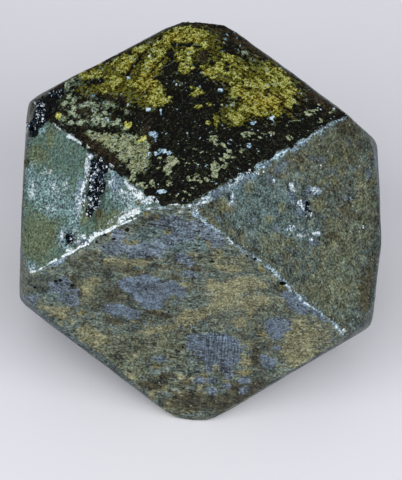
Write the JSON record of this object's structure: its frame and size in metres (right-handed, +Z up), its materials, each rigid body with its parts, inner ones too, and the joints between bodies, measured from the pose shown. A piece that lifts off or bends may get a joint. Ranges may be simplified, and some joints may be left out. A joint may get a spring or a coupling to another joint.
{
  "type": "galena crystal",
  "caption": "Loose cuboctahedral crystal of tarnished galena, cube faces cut by octahedral faces, with worn corners, cleavage pits and a brown crust on one face",
  "frame": {"origin": "under the middle of the crystal, on the surface it rests on", "axes": "+Z up through the dark crusted cube face, X along the longest way across, -Y out of the front cube face"},
  "size_m": [0.0272, 0.0206, 0.0233],
  "materials": {
    "galena": "dull lead grey metal with a green-grey tarnish, a dark brown crust on top and bright cleavage where it is chipped"
  },
  "bodies": {
    "root": {"galena_crystal": "galena"}
  },
  "joints": []
}
